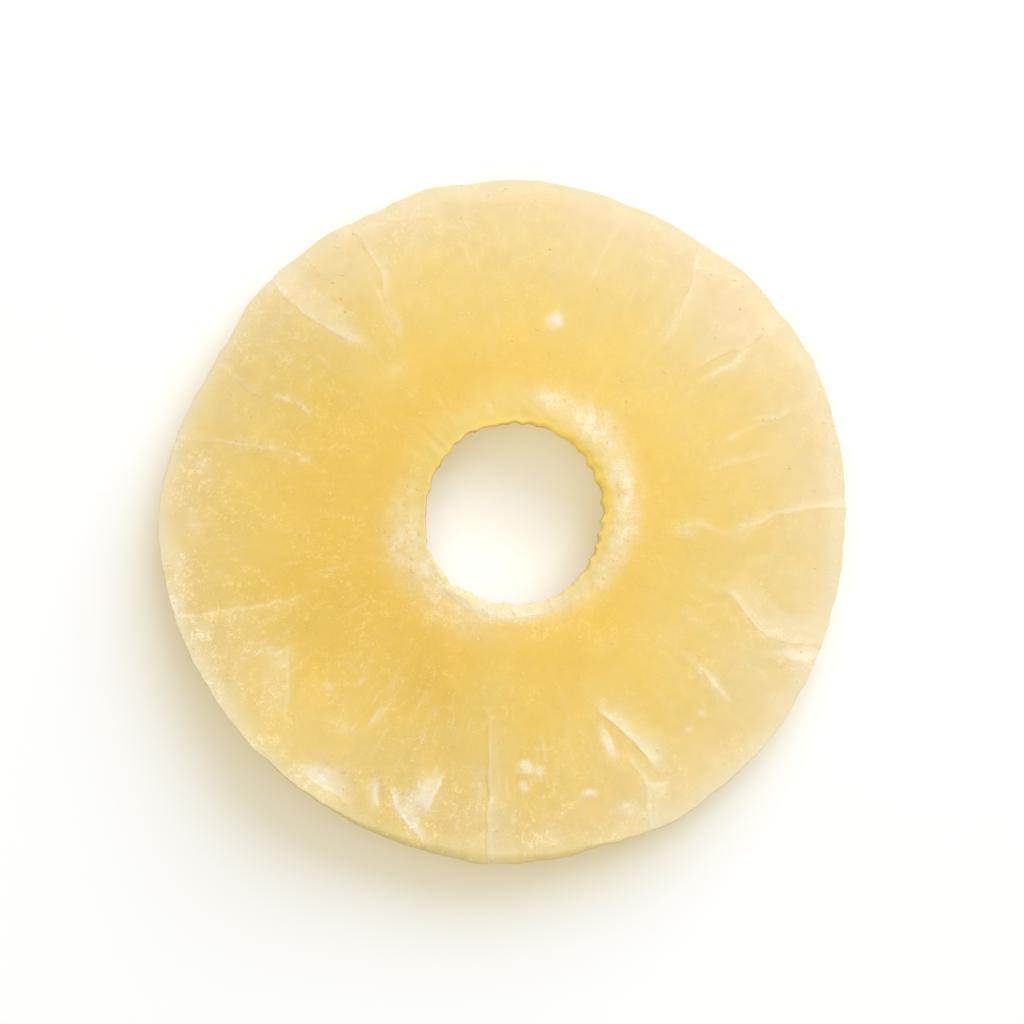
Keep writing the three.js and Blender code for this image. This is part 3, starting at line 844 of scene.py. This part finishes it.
surface = add_node(
    tree,
    "ShaderNodeBsdfPrincipled",
    {
        "Base Color": flesh_colour.outputs["Result"],
        "Roughness": rough,
        "IOR": FLESH_INDEX,
        "Subsurface Weight": look["clear"],
        "Subsurface Radius": (1.0, 0.75, 0.4),
        "Subsurface Scale": LIGHT_REACH,
        "Normal": bump.outputs["Normal"],
    },
)
add_node(tree, "ShaderNodeOutputMaterial", {"Surface": surface.outputs["BSDF"]})

MM = 0.001
candied_slice = new_object("candied_slice", grid_mesh("candied_slice", skin * MM, skin_looks), flesh)
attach(candied_slice, "root")
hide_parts("pineapple_ring")


# The sugar
# Loose grains of sugar that stick to the skin, thickest where it has bloomed and towards the rim. They are
# half sunk in the syrup that holds them.
GRAIN_COUNT = 5000
GRAIN_SIZE = 0.05  # half of a grain's mean width
GRAIN_LARGEST = 0.09
GRAIN_UNEVEN = 0.2  # how far a grain's corners are in or out
GRAIN_SEED = 21
CORNER_SEED = 31
SUGAR_COLOUR = "f8e09c"
SUGAR_INDEX = 1.54


def cell_areas(points):
    """The room round each point of a closed grid: the length of the cross product of its differences round
    the section and round the ring."""
    across = np.roll(points, -1, axis=1) - np.roll(points, 1, axis=1)
    around = np.roll(points, -1, axis=0) - np.roll(points, 1, axis=0)
    return np.linalg.norm(np.cross(across, around), axis=-1)


def turned(quaternions):
    """Rotation matrices of quaternions (w, x, y, z), each first divided by its length."""
    w, x, y, z = (quaternions / np.linalg.norm(quaternions, axis=1)[:, None]).T
    rows = [
        [1 - 2 * (y * y + z * z), 2 * (x * y - w * z), 2 * (x * z + w * y)],
        [2 * (x * y + w * z), 1 - 2 * (x * x + z * z), 2 * (y * z - w * x)],
        [2 * (x * z - w * y), 2 * (y * z + w * x), 1 - 2 * (x * x + y * y)],
    ]
    return np.moveaxis(np.array(rows), -1, 0)


def crystal_mesh(name, centres, turns, half_sizes):
    """Uneven cubes: corner = centre + turn (half size x corner), where the corners are (1, 1, 1) with all
    signs, each moved in or out by up to the uneven share. The faces are those of the plain cube's hull."""
    hull = bmesh.new()
    for signs in np.ndindex(2, 2, 2):
        hull.verts.new(np.array(signs) * 2.0 - 1)
    bmesh.ops.convex_hull(hull, input=hull.verts)
    bmesh.ops.triangulate(hull, faces=hull.faces)
    hull.verts.index_update()
    faces = np.array([[vertex.index for vertex in face.verts] for face in hull.faces])
    corners = np.array([vertex.co for vertex in hull.verts])
    hull.free()
    spread = (len(centres), len(corners), 1)
    grown = np.random.default_rng(CORNER_SEED).uniform(1 - GRAIN_UNEVEN, 1 + GRAIN_UNEVEN, spread)
    points = centres[:, None] + np.einsum("nij,nkj->nki", turns, half_sizes[:, None] * corners * grown)
    all_faces = faces + len(corners) * np.arange(len(centres))[:, None, None]
    mesh = bpy.data.meshes.new(name)
    mesh.from_pydata(points.reshape(-1, 3) * MM, [], all_faces.reshape(-1, 3))
    return mesh


# Crystal sugar: clear crystals of index 1.54 with frosted faces, so some light goes through them. The syrup
# that holds them tints them.
crystal_sugar, tree = new_material("crystal_sugar")
surface = add_node(
    tree,
    "ShaderNodeBsdfPrincipled",
    {
        "Base Color": linear(SUGAR_COLOUR),
        "Roughness": 0.3,
        "IOR": SUGAR_INDEX,
        "Subsurface Weight": 0.4,
        "Subsurface Radius": (1.0, 0.95, 0.8),
        "Subsurface Scale": 0.0005,
    },
)
add_node(tree, "ShaderNodeOutputMaterial", {"Surface": surface.outputs["BSDF"]})

# Grains lie in clots, and there are more on the bloom, on the rim's wall and at the lower left. There are
# none below, and few down the hole.
draw = np.random.default_rng(GRAIN_SEED)
clotted = ease(lumps(skin, 2.5, 18), -0.4, 0.8)
liking = 0.1 + 0.2 * clotted + 0.08 * np.cos(np.radians(bearing - 220)) + np.clip(bloom, 0, 1)
liking += 0.1 * on_rim_wall
liking *= cell_areas(skin) * off_table * (1 - on_hole_wall * (1 - ease(level, 2, 8)))
chosen = draw.choice(skin.size // 3, GRAIN_COUNT, p=(liking / liking.sum()).ravel())
half_sizes = np.minimum(GRAIN_SIZE * draw.lognormal(-0.2, 0.4, GRAIN_COUNT), GRAIN_LARGEST)[:, None]
half_sizes = half_sizes * draw.uniform(0.6, 1.0, (GRAIN_COUNT, 3))
step = np.roll(skin, -1, axis=0) - skin
along_step = draw.uniform(0, 1, (GRAIN_COUNT, 1))
centres = skin.reshape(-1, 3)[chosen] + along_step * step.reshape(-1, 3)[chosen]
grain_turns = turned(draw.normal(size=(GRAIN_COUNT, 4)))
grain_mesh = crystal_mesh("sugar_grains", centres, grain_turns, half_sizes)
sugar_grains = new_object("sugar_grains", grain_mesh, crystal_sugar)
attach(sugar_grains, "root")


# The table
# A round sheet of white board that sweeps up all round its edge, so that it fills every view. A warm lamp
# below it shines through a little, so shadows on it stay light and warm.
TABLE_RADIUS = 1.4
TABLE_MIDDLE = 0.001  # the radius of its innermost face
TABLE_STEPS = 96
SWEEP_RADIUS = 0.7
SWEEP_TURN = 50
SWEEP_STEP = 5
BOARD_COLOUR = "cfddeb"
BOARD_GLOW = "9a8053"


def table_sweep(turns):
    """A disc that bends up at its edge: the level is R (1 - cos turn), at the flat radius plus R sin turn."""
    outs = np.concatenate([[TABLE_MIDDLE], TABLE_RADIUS + SWEEP_RADIUS * np.sin(np.radians(turns))])
    ups = np.concatenate([[0], SWEEP_RADIUS * (1 - np.cos(np.radians(turns)))])
    around = towards(np.arange(TABLE_STEPS) / TABLE_STEPS * 360)
    flat = outs[None, :, None] * around[:, None]
    return np.concatenate([flat, np.broadcast_to(ups[:, None], (*flat.shape[:2], 1))], axis=-1)


table_points = table_sweep(np.arange(0, SWEEP_TURN + 1, SWEEP_STEP))
table_number = np.arange(table_points.size // 3).reshape(table_points.shape[:2])
table_ahead = np.roll(table_number, -1, axis=0)
table_quads = np.stack(
    [table_number[:, :-1], table_number[:, 1:], table_ahead[:, 1:], table_ahead[:, :-1]], axis=-1
)
table_mesh = bpy.data.meshes.new("table")
table_mesh.from_pydata(table_points.reshape(-1, 3), [], [*table_quads.reshape(-1, 4), table_number[:, 0]])
table_mesh.shade_smooth()

# White board: matt card, lit a little from below.
board, tree = new_material("white_board")
surface = add_node(
    tree,
    "ShaderNodeBsdfPrincipled",
    {
        "Base Color": linear(BOARD_COLOUR),
        "Roughness": 0.9,
        "Specular IOR Level": 0.0,
        "Emission Color": linear(BOARD_GLOW),
        "Emission Strength": 1.0,
    },
)
add_node(tree, "ShaderNodeOutputMaterial", {"Surface": surface.outputs["BSDF"]})
table = new_object("table", table_mesh, board)


# Light
# A large soft box at the upper right, not half way up the sky, and a weaker one overhead, in a dim warm room.
BOX_DIRECTION = 61.0
BOX_ELEVATION = 36.0
BOX_DISTANCE = 3.0
BOX_SIZE = 3.0
BOX_WATTS = 94.5
BOX_COLOUR = (0.955, 1.0, 1.2)
TOP_HEIGHT = 2.1
TOP_SIZE = 2.1
TOP_WATTS = 19.6
TOP_COLOUR = (1.0, 0.985, 0.92)
ROOM_COLOUR = (1.0, 0.94, 0.62, 1.0)
ROOM_STRENGTH = 0.25


def soft_light(name, place, size, watts, colour):
    """A round lamp at a place, which shines straight down."""
    lamp_data = bpy.data.lights.new(name, "AREA")
    lamp_data.shape = "DISK"
    lamp_data.size = size
    lamp_data.energy = watts
    lamp_data.color = colour
    lamp = bpy.data.objects.new(name, lamp_data)
    lamp.location = place
    bpy.context.scene.collection.objects.link(lamp)
    return lamp


box_out, box_up = BOX_DISTANCE * towards(BOX_ELEVATION)
box_place = (*(box_out * towards(BOX_DIRECTION)), box_up)
soft_box = soft_light("soft_box", box_place, BOX_SIZE, BOX_WATTS, BOX_COLOUR)
soft_box.rotation_euler = (-soft_box.location).to_track_quat("-Z", "Y").to_euler()
soft_light("top_box", (0, 0, TOP_HEIGHT), TOP_SIZE, TOP_WATTS, TOP_COLOUR)
world = bpy.data.worlds.new("white_room")
bpy.context.scene.world = world
world.use_nodes = True
world.node_tree.nodes["Background"].inputs["Color"].default_value = ROOM_COLOUR
world.node_tree.nodes["Background"].inputs["Strength"].default_value = ROOM_STRENGTH


# Camera
# It looks straight down with a long lens. The picture's side is 107.7 mm wide near the slice's top.
PICTURE_SIDE = 0.1077
PICTURE_LEVEL = 0.0065
PICTURE_MIDDLE = (0.00102, 0.00103)
LENS = 200.0
SENSOR = 36.0
camera_data = bpy.data.cameras.new("camera")
camera_data.lens = LENS
camera_data.sensor_width = SENSOR
camera = bpy.data.objects.new("camera", camera_data)
camera.location = (*PICTURE_MIDDLE, PICTURE_LEVEL + PICTURE_SIDE * LENS / SENSOR)
bpy.context.scene.collection.objects.link(camera)
bpy.context.scene.camera = camera
bpy.context.scene.view_settings.view_transform = "Standard"
